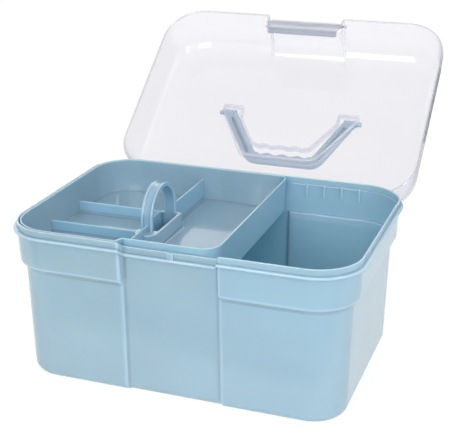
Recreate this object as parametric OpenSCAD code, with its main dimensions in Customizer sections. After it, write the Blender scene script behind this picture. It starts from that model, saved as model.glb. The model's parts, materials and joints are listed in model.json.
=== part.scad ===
// Horse grooming box: a moulded box with a lift-out tray, a clear hinged lid that stands open,
// a folding carry handle set into the lid, and a latch that hangs in the lid's front notch.
// Units are millimetres. The origin is the middle of the underside, +Z is up, the latch faces -Y.

/* [Box] */
// Width over the lip
lip_width = 377; // [350:1:410]
// Depth over the lip
lip_depth = 264; // [245:1:290]
// Height of the lip's top above the underside
box_height = 175; // [150:1:200]
// Corner radius of the lip in plan
corner_radius = 48; // [44:1:56]
// Wall thickness of the box
box_wall = 2.5; // [2:0.1:3]
// Radius of the lower edge
base_radius = 10; // [6:0.5:12]
// How far the lower wall leans in between the collar and the base
wall_draft = 3; // [1:0.5:5]

/* [Rim] */
// Height of the lip above the flange
lip_height = 7; // [5:0.5:9]
// Thickness of the lip
lip_thick = 2.2; // [1.8:0.1:2.5]
// How far the flange stands out from the lip
flange_out = 4; // [3:0.25:5]
// Thickness of the flange
flange_thick = 3; // [2:0.25:4]

/* [Collar] */
// Height of the collar below the flange
collar_height = 34; // [28:1:40]
// How far the collar leans in over its height
collar_lean = 1.5; // [0.5:0.25:2.5]
// How far the lower wall lies inside the collar
collar_step = 6; // [4.5:0.25:7]
// Height of the bevel under the collar
collar_bevel = 5; // [4:0.5:8]

/* [Centre recess] */
// Width of the recessed panel at the front and of the flush panel at the back
recess_width = 102; // [96:1:110]
// Depth of the recess at the lip
recess_depth = 10; // [9:0.25:11]
// Width of the sloping side of the recess
recess_ramp = 2.5; // [1.5:0.25:4]
// How far the rim drops in the front recess
rail_drop = 7; // [4:0.5:9]

/* [Ribs and catch nub] */
// Number of ribs under the back rim
rib_count = 4; // [2:1:5]
// Distance between ribs
rib_pitch = 21; // [16:1:24]
// Distance of the first rib from the box's middle
rib_start = 70.5; // [66:0.5:76]
// Thickness of a rib
rib_thick = 3; // [1.5:0.25:4]
// How far a rib stands out from the collar's inside
rib_out = 1.5; // [1:0.25:2.5]
// Height of a rib
rib_height = 15; // [12:1:24]
// Width of the nub on the front lip
nub_width = 7; // [5:0.5:10]
// How far the nub stands out
nub_out = 2.5; // [1.5:0.25:3]

/* [Lid] */
// Height of the lid above the flange
lid_height = 60; // [54:1:70]
// Wall thickness of the lid
lid_wall = 1.8; // [1.5:0.1:2.2]
// Radius between the lid's skirt and its top
dome_radius = 30; // [24:1:34]
// How far the skirt leans in below the dome
skirt_lean = 3.5; // [2:0.25:5]
// Angle at which the lid stands open
open_angle = 142; // [110:1:150]

/* [Hinge] */
// Distance of the hinge axis behind the lip
hinge_back = 5.5; // [5.5:0.25:7]
// Distance of the hinge axis below the flange's top
hinge_drop = 6; // [5:0.2:7]
// Radius of the hinge barrels
hinge_radius = 4.5; // [4:0.25:5]
// Radius of the hinge pin
hinge_pin_radius = 1.5; // [1:0.25:2]
// Width of an outer barrel on the box
box_knuckle = 10; // [8:0.5:12]
// Width of a barrel on the lid
lid_knuckle = 20; // [14:1:22]
// Width of the middle barrel on the box
mid_knuckle = 27; // [20:1:30]
// Height of the lid's hinge arms above the flange
arm_rise = 10; // [8:0.5:12]

/* [Latch] */
// Width of the latch
latch_width = 98; // [90:0.5:98]
// Length of the latch below its hook
latch_tail = 2; // [1:0.25:5]
// Thickness of the latch plate
latch_thick = 2.5; // [2:0.25:3]
// Radius of the latch's barrel
latch_radius = 3.3; // [3:0.1:3.6]
// Radius of the latch pin
latch_pin_radius = 1.5; // [1:0.1:1.8]
// Height of the latch's pivot above the flange
latch_rise = 11; // [10.5:0.25:13]
// Width of the hook inside the latch
hook_width = 94; // [60:1:96]
// Height of the hook
hook_height = 4; // [3:0.25:5]
// How far the latch has swung in while the lid stands open
latch_hang = 60; // [30:1:70]

/* [Carry handle] */
// Distance between the middles of the two hubs
handle_span = 164; // [150:1:172]
// Distance between the bends at the grip's ends
grip_span = 88; // [76:1:96]
// Distance from the pivots to the middle of the grip
handle_reach = 58; // [50:1:66]
// Width of the grip and the arms in plan
handle_width = 16; // [13:0.5:18]
// Thickness of the handle
handle_thick = 9; // [7:0.5:10]
// Distance of the pivots in front of the lid's middle
pivot_front = 4; // [0:0.5:8]
// Radius of the stub pins at the hubs
stub_radius = 3; // [2:0.25:3.5]
// Length of a stub pin
stub_length = 7; // [5:0.5:9]
// Number of finger hollows
finger_count = 4; // [3:1:5]
// Distance between finger hollows
finger_pitch = 20.5; // [17:0.5:22]
// Depth of a finger hollow
finger_depth = 2.5; // [1:0.25:3.5]
// Depth of the handle's pocket in the lid
pocket_depth = 10; // [8.5:0.5:12]
// Room in the pocket beside each hub, for the arm as it lifts
lift_room = 5.5; // [4.5:0.25:7]
// Angle at which the handle hangs out of its pocket
handle_hang = 20; // [0:1:40]

/* [Tray] */
// Height of the tray
tray_height = 42.5; // [36:0.5:43]
// Wall thickness of the tray
tray_wall = 2; // [1.6:0.1:2.5]
// Distance of the tray's right wall from the box's middle
tray_right = 47; // [36:1:50]
// Corner radius of the tray's right end at the front
tray_corner = 20; // [14:1:26]
// Corner radius of the tray's right end at the back
tray_back_corner = 10; // [6:1:16]
// Lean of the tray's wall over its height
tray_lean = 1.5; // [0.5:0.25:2]
// Radius of the tray's lower edge
tray_edge = 2; // [1:0.25:3]
// Distance of the long divider to the left of the box's middle
divider_left = 61; // [58:1:66]
// Height of the long divider above the tray's underside
divider_height = 28; // [24:0.5:32]
// Distance of the short dividers from the tray's middle
short_offset = 34; // [28:1:42]
// Height of the short dividers above the tray's underside
short_height = 16; // [12:0.5:22]

/* [Tray loop] */
// Length of the loop over its feet
loop_length = 70; // [62:1:76]
// Height of the loop above the long divider
loop_rise = 38; // [36:1:42]
// Width of the loop
loop_width = 13.5; // [10:0.5:16]
// Thickness of the loop
loop_thick = 5; // [4:0.25:7]
// Distance of the loop's middle in front of the tray's middle
loop_front = 9; // [0:1:16]
// Width of the well under the loop
well_width = 26; // [22:0.5:30]
// Height of the well's rim above the tray's underside
well_height = 21; // [16:0.5:23]
// How far the well runs on in front of the loop
well_nose = 12; // [8:1:18]

/* [Clearances] */
// Gap between the lid's skirt and the lip
lid_clear = 0.4; // [0.3:0.05:0.6]
// Gap under the lid and under the tray
seat_clear = 0.3; // [0.25:0.05:0.4]
// Gap between the tray and the box
tray_clear = 0.7; // [0.5:0.05:1]
// Gap round moving pieces
moving_clear = 0.5; // [0.4:0.05:0.8]
// Gap round the folded handle
pocket_clear = 1.5; // [1:0.25:2.5]
// Radial gap of the pins in their bores
pin_clear = 0.05; // [0.02:0.01:0.1]

/* [Hidden] */

// facets of a corner in plan, of an edge's rounding, and of round pieces
corner_steps = 10;
round_steps = 5;
$fn = 32;
// how far a cut runs past what it cuts, and a joined piece into what carries it
overrun = 1;
// share of a barrel's radius that its arm fills
arm_share = 0.9;
// share of a wall that a rib, nub, lug or divider is rooted in
root_share = 0.8;
// share of the box's wall that the ledge stands above the collar's lower edge
ledge_share = 0.6;
// share of the flange's width that it keeps along the sides of the recess
jog_share = 0.25;
// share of the collar's step that the flush panel at the back makes up
panel_share = 0.9;
// share of the flange that the latch's hook leaves uncovered
bite_share = 0.3;

// heights and insets of the box, measured outwards from the lip in plan
z_flange = box_height - lip_height;
z_flange_low = z_flange - flange_thick;
z_collar = z_flange_low - collar_height;
z_step = z_collar - collar_bevel;
z_ledge = z_collar + box_wall * ledge_share;
out_collar = -collar_lean;
out_low = out_collar - collar_step;
out_base = out_low - wall_draft;
in_base = recess_depth + out_low;
ledge_lip = box_wall * ledge_share;
half_depth = lip_depth / 2;
panel_y = half_depth - recess_depth;
panel_out = collar_step * panel_share;

// the closed lid
z_seam = z_flange + seat_clear;
z_top = z_flange + lid_height;
out_lid = lid_clear + lid_wall;
z_band = box_height + moving_clear;
out_dome = out_lid - skirt_lean;
y_hinge = half_depth + hinge_back;
z_hinge = z_flange - hinge_drop;
panel_lid_y = panel_y + out_lid;

// the latch, hanging on the closed lid
y_latch = half_depth + out_lid - latch_radius - (lid_wall - lid_clear) / 2;
z_latch = z_flange + latch_rise;
notch_top = z_latch + latch_radius + moving_clear * 2;
notch_half = latch_width / 2 + moving_clear;
latch_pin_end = recess_width / 2 + recess_ramp + moving_clear * 2;
boss_radius = latch_pin_radius * 2;
hook_reach = y_latch - panel_y - flange_out * bite_share;
z_rail_low = z_flange_low - rail_drop;
hook_top = z_rail_low - moving_clear;
latch_length = z_latch - hook_top + hook_height + latch_tail;

// the handle, folded into the closed lid
z_pocket = z_top - pocket_depth;
z_pivot = z_pocket + moving_clear + handle_thick / 2;
handle_half = handle_width / 2;
hub_out = handle_span / 2 + handle_half;

// the tray
z_tray = z_ledge + seat_clear;
z_tray_top = z_tray + tray_height;
out_tray = -box_wall - tray_clear;
z_divider = z_tray + divider_height;
x_divider = -divider_left;
z_well = z_tray + well_height;
loop_radius = loop_length / 2;

function arc(centre, r, from, to, steps) =
    [for (i = [0:steps]) let (t = from + (to - from) * i / steps) centre + r * [cos(t), sin(t)]];

// Plan of the box and the lid, grown by out from the lip. The middle of the front lies step_in further
// in, with the sides of that recess shift further apart. The middle of the back stands back_out further
// out, with its sides back_shift further apart.
// The points of the front recess have a third number, so that a ring can lower them.
function plan(out, step_in, shift, back_out = 0, back_shift = 0) =
    let (a = lip_width / 2 + out, b = half_depth + out, r = corner_radius + out)
    let (w = recess_width / 2 + shift, e = w + recess_ramp, c = b - step_in)
    let (v = recess_width / 2 + back_shift, f = v + recess_ramp, d = b + back_out)
    concat(
        arc([a - r, b - r], r, 0, 90, corner_steps),
        [[f, b], [v, d], [-v, d], [-f, b]],
        arc([r - a, b - r], r, 90, 180, corner_steps),
        arc([r - a, r - b], r, 180, 270, corner_steps),
        [[-e, -b], [-w, -c, 0], [w, -c, 0], [e, -b]],
        arc([a - r, r - b], r, 270, 360, corner_steps));

// Plan of the tray, grown by out from its own outside: round with the box on the left,
// narrower where the box's front panel comes in, and square-ended on the right.
function tray_plan(out) =
    let (g = out_tray + out, a = lip_width / 2 + g, b = half_depth + g, r = corner_radius + g)
    let (w = recess_width / 2 + box_wall + tray_clear - out, e = w + recess_ramp, c = b - recess_depth)
    let (x = tray_right + out, q = tray_corner + out, k = tray_back_corner + out)
    concat(
        arc([x - k, b - k], k, 0, 90, corner_steps),
        arc([r - a, b - r], r, 90, 180, corner_steps),
        arc([r - a, r - b], r, 180, 270, corner_steps),
        [[-e, -b], [-w, -c]],
        arc([x - q, q - c], q, 270, 360, corner_steps));

// The points at height z, lowered by drop in the front recess.
function ring(z, points, drop = 0) = [for (p = points) [p[0], p[1], len(p) > 2 ? z - drop : z]];

function middle(points) =
    [for (k = [0:2]) (min([for (p = points) p[k]]) + max([for (p = points) p[k]])) / 2];

// A closed skin over a stack of rings, each with the same number of points, anticlockwise from above.
module loft(rings) {
    n = len(rings[0]);
    last = len(rings) - 1;
    foot = n * (last + 1);
    points = concat([for (r = rings) each r], [middle(rings[0]), middle(rings[last])]);
    sides = [for (k = [0:last - 1], i = [0:n - 1]) let (j = (i + 1) % n, p = k * n, q = p + n)
        each [[p + i, q + i, q + j], [p + i, q + j, p + j]]];
    ends = [for (i = [0:n - 1]) let (j = (i + 1) % n, p = last * n)
        each [[i, j, foot], [p + j, p + i, foot + 1]]];
    polyhedron(points = points, faces = concat(sides, ends));
}

// A bar with round ends, seen in plan.
module bar(from, to, r) {
    hull() {
        translate(from) circle(r);
        translate(to) circle(r);
    }
}

// A round bar along X, from one side to the other.
module rod(y, z, r, from, to) {
    translate([from, y, z]) rotate([0, 90, 0]) cylinder(r = r, h = to - from);
}

module both_sides() {
    children();
    mirror([1, 0, 0]) children();
}

// Turns a piece of the closed lid into the open pose.
module opened() {
    translate([0, y_hinge, z_hinge])
        rotate([-open_angle, 0, 0])
            translate([0, -y_hinge, -z_hinge]) children();
}

function box_rings() =
    let (lip_in = -lip_thick, wall_in = -box_wall, in_radius = base_radius - box_wall)
    let (ledge_out = out_collar - box_wall, ledge_in = out_low - box_wall + ledge_lip)
    let (panel_in = panel_out - ledge_lip * panel_share, floor_out = out_base - box_wall)
    concat(
        [for (i = [0:round_steps]) let (t = 90 * i / round_steps)
            ring(base_radius * (1 - cos(t)),
                plan(out_base - base_radius * (1 - sin(t)), in_base, 0, panel_out))],
        [
            ring(z_step, plan(out_low, in_base, 0, panel_out)),
            ring(z_collar, plan(out_collar, recess_depth + out_collar, 0)),
            ring(z_flange_low, plan(0, recess_depth, 0), rail_drop),
            ring(z_flange_low, plan(flange_out, recess_depth, -flange_out * jog_share), rail_drop),
            ring(z_flange, plan(flange_out, recess_depth, -flange_out * jog_share), rail_drop),
            ring(z_flange, plan(0, recess_depth, 0), rail_drop),
            ring(box_height, plan(0, recess_depth, 0), rail_drop),
            ring(box_height, plan(lip_in, recess_depth, lip_thick), rail_drop),
            ring(z_flange_low, plan(wall_in, recess_depth, box_wall), rail_drop),
            ring(z_ledge, plan(ledge_out, recess_depth + out_collar, box_wall, 0, -box_wall)),
            ring(z_ledge, plan(ledge_in, in_base + ledge_lip, box_wall, panel_in, -box_wall)),
            ring(z_step, plan(out_low - box_wall, in_base, box_wall, panel_out, -box_wall))
        ],
        [for (i = [0:round_steps]) let (t = 90 - 90 * i / round_steps)
            ring(box_wall + in_radius * (1 - cos(t)),
                plan(floor_out - in_radius * (1 - sin(t)), in_base, box_wall, panel_out, -box_wall))]);

// Ribs on the inside of the back collar, right of the tray.
module rim_ribs() {
    y = half_depth - box_wall - collar_lean;
    for (i = [0:rib_count - 1])
        translate([rib_start + i * rib_pitch - rib_thick / 2, y - rib_out, z_flange - rib_height])
            cube([rib_thick, rib_out + collar_lean + box_wall * root_share, rib_height]);
}

// The nub on the lip inside the front recess.
module catch_nub() {
    depth = nub_out + lip_thick * root_share;
    low = z_rail_low + flange_thick / 2;
    translate([-nub_width / 2, -panel_y - nub_out, low])
        cube([nub_width, depth, box_height - rail_drop - seat_clear - low]);
}

// A hinge barrel on the box, with the arm that joins it to the collar.
module box_barrel(from, to) {
    arm = hinge_radius * arm_share;
    root = half_depth - box_wall * root_share;
    rod(y_hinge, z_hinge, hinge_radius, from, to);
    translate([from, root, z_hinge - arm]) cube([to - from, y_hinge - root, arm * 2]);
}

// The gap in the back flange that a hinge barrel of the lid turns in.
module hinge_notch() {
    translate([mid_knuckle / 2, half_depth + seat_clear, z_flange_low - overrun])
        cube([lid_knuckle + moving_clear * 2, flange_out + overrun, flange_thick + overrun * 2]);
}

module box_body() {
    outer_from = mid_knuckle / 2 + moving_clear * 2 + lid_knuckle;
    color("lightblue")
    difference() {
        union() {
            difference() {
                loft(box_rings());
                both_sides() hinge_notch();
            }
            rim_ribs();
            catch_nub();
            box_barrel(-mid_knuckle / 2, mid_knuckle / 2);
            both_sides() box_barrel(outer_from, outer_from + box_knuckle);
        }
        hinge_bore();
    }
}

module hinge_bore() {
    reach = recess_width / 2;
    rod(y_hinge, z_hinge, hinge_pin_radius + pin_clear, -reach, reach);
}

module hinge_pin() {
    reach = mid_knuckle / 2 + moving_clear * 2 + lid_knuckle + box_knuckle;
    color("silver") rod(y_hinge, z_hinge, hinge_pin_radius, -reach, reach);
}

// One side of the lid's shell, from the seam up: grow is added outwards, and top is the flat top's height.
function lid_side(grow, top) =
    let (r = dome_radius + grow)
    concat(
        [for (z = [z_seam, z_band]) ring(z, plan(out_lid + grow, recess_depth, -out_lid - grow))],
        [for (i = [0:round_steps * 2]) let (t = 90 * i / (round_steps * 2), fade = 1 - i / (round_steps * 2))
            ring(top - r * (1 - sin(t)),
                plan(out_dome + grow - r * (1 - cos(t)), recess_depth * fade, -out_lid - grow))]);

function reversed(list) = [for (i = [len(list) - 1:-1:0]) list[i]];

// The handle's arms and grip in plan, grown by extra.
module handle_plan(extra) {
    r = handle_half + extra;
    grip_y = handle_reach - pivot_front;
    bar([-grip_span / 2, grip_y], [grip_span / 2, grip_y], r);
    both_sides() bar([handle_span / 2, -pivot_front], [grip_span / 2, grip_y], r);
}

// The well in the lid that the folded handle lies in, squared off round the hubs.
module pocket(extra, from, to) {
    r = handle_half + pocket_clear + extra;
    translate([0, 0, from]) linear_extrude(to - from) {
        handle_plan(pocket_clear + extra);
        both_sides() translate([handle_span / 2 - r - lift_room, -pivot_front - r]) {
            square([r * 2 + lift_room, r]);
            square([r + lift_room, r + handle_half]);
        }
    }
}

// A hinge barrel on the lid, with the arm that rises through the flange's gap to the skirt.
module lid_barrel() {
    from = mid_knuckle / 2 + moving_clear;
    arm = hinge_radius * arm_share;
    root = half_depth + out_lid - lid_wall * root_share;
    arm_top = z_flange + arm_rise;
    arm_low = z_seam + overrun;
    rod(y_hinge, z_hinge, hinge_radius, from, from + lid_knuckle);
    translate([from, y_hinge - arm, z_hinge]) cube([lid_knuckle, arm * 2, arm_top - z_hinge]);
    translate([from, root, arm_low]) cube([lid_knuckle, y_hinge - root, arm_top - arm_low]);
}

// The boss at one end of the latch pin.
module latch_boss() {
    rod(-y_latch, z_latch, boss_radius, latch_pin_end - lid_wall - recess_ramp / 2, latch_pin_end + overrun);
}

module lid_closed() {
    difference() {
        union() {
            loft(concat(reversed(lid_side(-lid_wall, z_top - lid_wall)), lid_side(0, z_top)));
            pocket(lid_wall, z_pocket - lid_wall, z_top - lid_wall / 2);
            both_sides() lid_barrel();
            both_sides() latch_boss();
        }
        pocket(0, z_pocket, z_top + overrun);
        hinge_bore();
        rod(-y_latch, z_latch, latch_pin_radius + pin_clear, -latch_pin_end, latch_pin_end);
        rod(-pivot_front, z_pivot, stub_radius + pin_clear, -hub_out - stub_length, hub_out + stub_length);
        translate([-notch_half, -panel_lid_y - overrun, z_seam - overrun])
            cube([notch_half * 2, lid_wall + overrun * 2, notch_top - z_seam + overrun]);
    }
}

module lid() {
    color("whitesmoke", 0.5) opened() lid_closed();
}

module latch_pin() {
    color("silver") opened() rod(-y_latch, z_latch, latch_pin_radius, -latch_pin_end, latch_pin_end);
}

// The latch as it hangs over the closed lid's front: barrel, plate and the hook under the flange.
module latch_shut() {
    half = latch_width / 2;
    front = -y_latch - latch_radius;
    difference() {
        union() {
            rod(-y_latch, z_latch, latch_radius, -half, half);
            translate([-half, front, z_latch - latch_length]) cube([latch_width, latch_thick, latch_length]);
            translate([-hook_width / 2, front + latch_thick / 2, hook_top - hook_height])
                cube([hook_width, latch_radius - latch_thick / 2 + hook_reach, hook_height]);
        }
        rod(-y_latch, z_latch, latch_pin_radius + pin_clear, -half - overrun, half + overrun);
    }
}

module front_latch() {
    color("lightgray", 0.7) opened()
        translate([0, -y_latch, z_latch])
            rotate([latch_hang, 0, 0])
                translate([0, y_latch, -z_latch]) latch_shut();
}

// The handle folded flat: grip and arms with finger hollows, hubs and stub pins.
module handle_flat() {
    grip_in = handle_reach - pivot_front - handle_half;
    hollow = finger_pitch / 2 + finger_depth;
    first = -finger_pitch * (finger_count - 1) / 2;
    low = z_pivot - handle_thick / 2;
    difference() {
        translate([0, 0, low]) linear_extrude(handle_thick) handle_plan(0);
        translate([-hub_out - overrun, -pivot_front - handle_width, low - overrun])
            cube([hub_out * 2 + overrun * 2, handle_width, handle_thick + overrun * 2]);
        for (i = [0:finger_count - 1])
            translate([first + i * finger_pitch, grip_in + finger_depth - hollow, low - overrun])
                cylinder(r = hollow, h = handle_thick + overrun * 2);
    }
    both_sides() {
        rod(-pivot_front, z_pivot, handle_thick / 2, hub_out - handle_width, hub_out);
        rod(-pivot_front, z_pivot, stub_radius, hub_out - overrun, hub_out + stub_length);
    }
}

module carry_handle() {
    color("lightsteelblue") opened()
        translate([0, -pivot_front, z_pivot])
            rotate([handle_hang, 0, 0])
                translate([0, pivot_front, -z_pivot]) handle_flat();
}

function tray_side(grow, low, edge) =
    concat(
        [for (i = [0:round_steps]) let (t = 90 * i / round_steps)
            ring(low + edge * (1 - cos(t)), tray_plan(grow - tray_lean - edge * (1 - sin(t))))],
        [ring(z_tray_top, tray_plan(grow))]);

// The well's outline across the long divider: a rounded nose in front and a square end behind.
module well_plan(inset) {
    half = well_width / 2 - inset;
    back = loop_radius - loop_front - inset;
    front = -loop_radius - loop_front;
    nose = well_nose - inset;
    polygon(concat(
        [for (i = [0:corner_steps * 2]) let (t = 90 * i / corner_steps)
            [x_divider - half * cos(t), front - nose * sin(t)]],
        [[x_divider + half, back], [x_divider - half, back]]));
}

// The loop that lifts the tray: an arch on two straight legs.
module tray_loop() {
    leg = z_divider + loop_rise - loop_radius;
    foot = z_well - tray_wall / 2;
    translate([x_divider - loop_width / 2, -loop_front, 0]) rotate([90, 0, 90]) linear_extrude(loop_width)
        difference() {
            union() {
                translate([0, leg]) circle(loop_radius);
                translate([-loop_radius, foot]) square([loop_length, leg - foot]);
            }
            translate([0, leg]) circle(loop_radius - loop_thick);
            translate([loop_thick - loop_radius, foot - overrun])
                square([loop_length - loop_thick * 2, leg - foot + overrun]);
            translate([-loop_radius, foot - loop_length]) square(loop_length);
        }
}

// The dividers and the well's block, rooted in the middle of the tray's wall and floor.
module tray_dividers() {
    left = lip_width / 2;
    intersection() {
        loft(tray_side(-tray_wall * root_share / 2, z_tray + tray_wall * root_share / 2, tray_edge));
        union() {
            translate([x_divider - tray_wall / 2, -half_depth, z_tray])
                cube([tray_wall, lip_depth, divider_height]);
            for (y = [-short_offset, short_offset])
                translate([-left, y - tray_wall / 2, z_tray])
                    cube([left - divider_left, tray_wall, short_height]);
            translate([0, 0, z_tray]) linear_extrude(well_height) well_plan(0);
        }
    }
}

module insert_tray() {
    inner = tray_side(-tray_wall, z_tray + tray_wall, tray_edge);
    color("steelblue")
    difference() {
        union() {
            loft(concat(tray_side(0, z_tray, tray_edge), reversed(inner)));
            tray_dividers();
            tray_loop();
        }
        translate([0, 0, z_tray - overrun])
            linear_extrude(well_height - tray_wall + overrun) well_plan(tray_wall);
        translate([0, 0, z_tray]) linear_extrude(divider_height + overrun) well_hole();
    }
}

// The hole through the tray under the loop, between the loop's legs.
module well_hole() {
    intersection() {
        well_plan(tray_wall);
        translate([x_divider - well_width, loop_thick - loop_radius - loop_front])
            square([well_width * 2, loop_length - loop_thick * 2]);
    }
}

box_body();
hinge_pin();
lid();
latch_pin();
front_latch();
carry_handle();
insert_tray();
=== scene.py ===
"""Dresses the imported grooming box: moulded skins, clear lid, finishes and a plain white studio."""
import json
import math
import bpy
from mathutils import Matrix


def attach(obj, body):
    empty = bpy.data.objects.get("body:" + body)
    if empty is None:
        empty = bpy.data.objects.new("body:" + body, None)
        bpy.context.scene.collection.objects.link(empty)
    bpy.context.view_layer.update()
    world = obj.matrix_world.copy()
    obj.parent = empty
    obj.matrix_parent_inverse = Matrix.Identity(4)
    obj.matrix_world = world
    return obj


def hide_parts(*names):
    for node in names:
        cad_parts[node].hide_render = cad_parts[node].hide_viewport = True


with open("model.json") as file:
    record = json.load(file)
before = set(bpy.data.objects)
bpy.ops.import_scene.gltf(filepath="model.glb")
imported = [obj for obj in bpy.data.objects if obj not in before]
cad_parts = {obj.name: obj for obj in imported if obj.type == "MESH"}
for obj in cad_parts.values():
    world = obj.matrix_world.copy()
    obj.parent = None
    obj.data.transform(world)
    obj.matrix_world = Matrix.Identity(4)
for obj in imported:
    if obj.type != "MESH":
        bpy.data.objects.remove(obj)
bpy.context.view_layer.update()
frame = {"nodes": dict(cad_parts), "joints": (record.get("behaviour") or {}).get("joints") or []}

from types import SimpleNamespace

import bmesh
import bpy
import numpy as np
from bpy.props import FloatProperty, FloatVectorProperty, IntProperty, PointerProperty
from mathutils import Vector

bl_info = {
    "name": "Grooming Box",
    "version": (1, 0, 0),
    "blender": (4, 5, 0),
    "location": "View3D > Sidebar > Grooming Box",
    "description": "Builds a moulded grooming box with a clear lid around its packed frame",
    "category": "Object",
}

MM = 0.001
JOINTS = {joint["name"]: joint for joint in frame["joints"]}
OPEN_ANGLE, HANDLE_HANG, LATCH_HANG = (-math.radians(JOINTS[name]["range_deg"][0])
                                       for name in ("lid_hinge", "handle_fold", "latch_swing"))

# Roundings in millimetres, named by the edge that they soften.
ROUND = SimpleNamespace(
    jog=2.6, tray_jog=2.4, collar=2.2, flange_root=0.5, flange=1.2, lip_root=0.8, lip=0.7, lip_step=0.4,
    ledge=0.8, inner_step=1.5, rib=0.9, nub=0.8, lid_seam=0.6, lid_band=4, notch=2, pocket_under=3,
    pocket_floor=1.5, pocket_mouth=1.2, pocket_corner=2.5, pocket_side=3, bend_out=13, bend_in=7, hub=0.6,
    hub_tip=1, groove=0.3, barrel=0.5, hook=0.7, tray_rim=0.8, divider=3.5, well=3, well_rim=1.5,
    well_end=2, hole=2)

# Shares that tie one size to another.
LEDGE_SHARE = 0.6
PANEL_SHARE = 0.9
ARM_SHARE = 0.9
HOOK_SHARE = 0.3
JOG_SHARE = 0.25
POCKET_WAVE = 0.8
GROOVE_SPAN = (0.12, 0.9)

# Shares of a wall's thickness that a form moulded onto it reaches in.
ROOT_SHARE = 0.8
LOOP_ROOT = 0.6

# Shares of the tray's wall that stay outside the ends of the long divider and of the short ones.
LONG_REST = 0.9
SHORT_REST = 0.95

# How far a form runs past the face that it meets, and the gap round the stub pins, in millimetres.
OVERLAP = 1.0
STUB_CLEAR = 0.05

# The finger waves: the length in millimetres in which they fade out at both ends, and their points.
WAVE_FADE = 5
WAVE_POINTS = 57

# A face below this mean width in millimetres is part of an edge, and this bend in radians is a full one.
NARROW_FACE = 1.5
FULL_BEND = 0.3

# Moulded plastic tones, from painted shade in hollows through the plastic's own uneven tone to a painted
# highlight on rounded edges: place on the ramp, share of the colour and paleness added.
PLASTIC_TONES_AND_PAINTED_EDGE_LIGHT = ((0.0, 0.72, 0.0), (0.4, 0.955, 0.0), (0.6, 1.05, 0.0), (1.0, 0.98, 0.12))


def length(name, description, millimetres):
    """A size that is typed in scene units and written here in millimetres."""
    return FloatProperty(name=name, description=description, default=millimetres * MM, min=0,
                         unit="LENGTH", precision=5)


def angle(name, description, radians):
    return FloatProperty(name=name, description=description, default=radians, subtype="ANGLE",
                         unit="ROTATION")


def count(name, description, number):
    return IntProperty(name=name, description=description, default=number, min=1)


def colour(name, description, rgb):
    return FloatVectorProperty(name=name, description=description, default=rgb, size=3, min=0, max=1,
                               subtype="COLOR")


def share(name, description, number):
    return FloatProperty(name=name, description=description, default=number, min=0, max=1, subtype="FACTOR")


class BoxSizes(bpy.types.PropertyGroup):
    """Sizes of the box."""
    lip_width: length("Lip width", "Width over the lip", 377)
    lip_depth: length("Lip depth", "Depth over the lip", 264)
    box_height: length("Box height", "Height of the lip's top", 175)
    corner_radius: length("Corner radius", "Corner radius of the lip in plan", 48)
    box_wall: length("Box wall", "Wall thickness of the box", 2.5)
    base_radius: length("Base radius", "Radius of the lower edge", 10)
    wall_draft: length("Wall draft", "Lean of the lower wall", 3)
    lip_height: length("Lip height", "Height of the lip above the flange", 7)
    lip_thick: length("Lip thickness", "Thickness of the lip", 2.2)
    flange_out: length("Flange", "How far the flange stands out", 4)
    flange_thick: length("Flange thickness", "Thickness of the flange", 3)
    collar_height: length("Collar height", "Height of the collar under the flange", 34)
    collar_lean: length("Collar lean", "Lean of the collar", 1.5)
    collar_step: length("Collar step", "How far the collar stands out over the wall", 6)
    collar_bevel: length("Collar bevel", "Height of the slope under the collar", 5)
    recess_width: length("Recess width", "Width of the front recess and the back panel", 102)
    recess_depth: length("Recess depth", "Depth of the front recess at the rim", 10)
    recess_ramp: length("Recess ramp", "Slope of the recess's sides", 2.5)
    rail_drop: length("Rail drop", "How far the rim dips in the front recess", 7)
    rib_count: count("Ribs", "Number of ribs inside the back collar", 4)
    rib_pitch: length("Rib pitch", "Distance between ribs", 21)
    rib_start: length("Rib start", "Distance of the first rib from the middle", 70.5)
    rib_thick: length("Rib thickness", "Thickness of a rib", 3)
    rib_out: length("Rib depth", "How far a rib stands out", 1.5)
    rib_height: length("Rib height", "Height of a rib", 15)
    nub_width: length("Nub width", "Width of the catch nub", 7)
    nub_out: length("Nub depth", "How far the catch nub stands out", 2.5)


class LidSizes(bpy.types.PropertyGroup):
    """Sizes of the lid and its hinge."""
    lid_height: length("Lid height", "Height of the lid over the flange", 60)
    lid_wall: length("Lid wall", "Wall thickness of the lid", 1.8)
    dome_radius: length("Dome radius", "Radius of the lid's upper edge", 30)
    skirt_lean: length("Skirt lean", "Lean of the lid's skirt", 3.5)
    lid_clear: length("Lid gap", "Gap between the skirt and the lip", 0.4)
    seat_clear: length("Seat gap", "Gap under the lid and the tray", 0.3)
    moving_clear: length("Moving gap", "Gap round moving pieces", 0.5)
    hinge_back: length("Hinge back", "Distance of the hinge behind the lip", 5.5)
    hinge_drop: length("Hinge drop", "Distance of the hinge below the flange's top", 6)
    hinge_radius: length("Barrel radius", "Radius of the hinge barrels", 4.5)
    pin_bore: length("Pin bore", "Radius of the bores for the pins", 1.55)
    box_knuckle: length("Outer barrel", "Length of the box's outer barrels", 10)
    lid_knuckle: length("Lid barrel", "Length of the lid's barrels", 20)
    mid_knuckle: length("Middle barrel", "Length of the box's middle barrel", 27)
    arm_rise: length("Arm rise", "Height of the lid's hinge arms over the flange", 10)
    open_angle: angle("Opening", "How far the lid stands open", OPEN_ANGLE)


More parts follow.
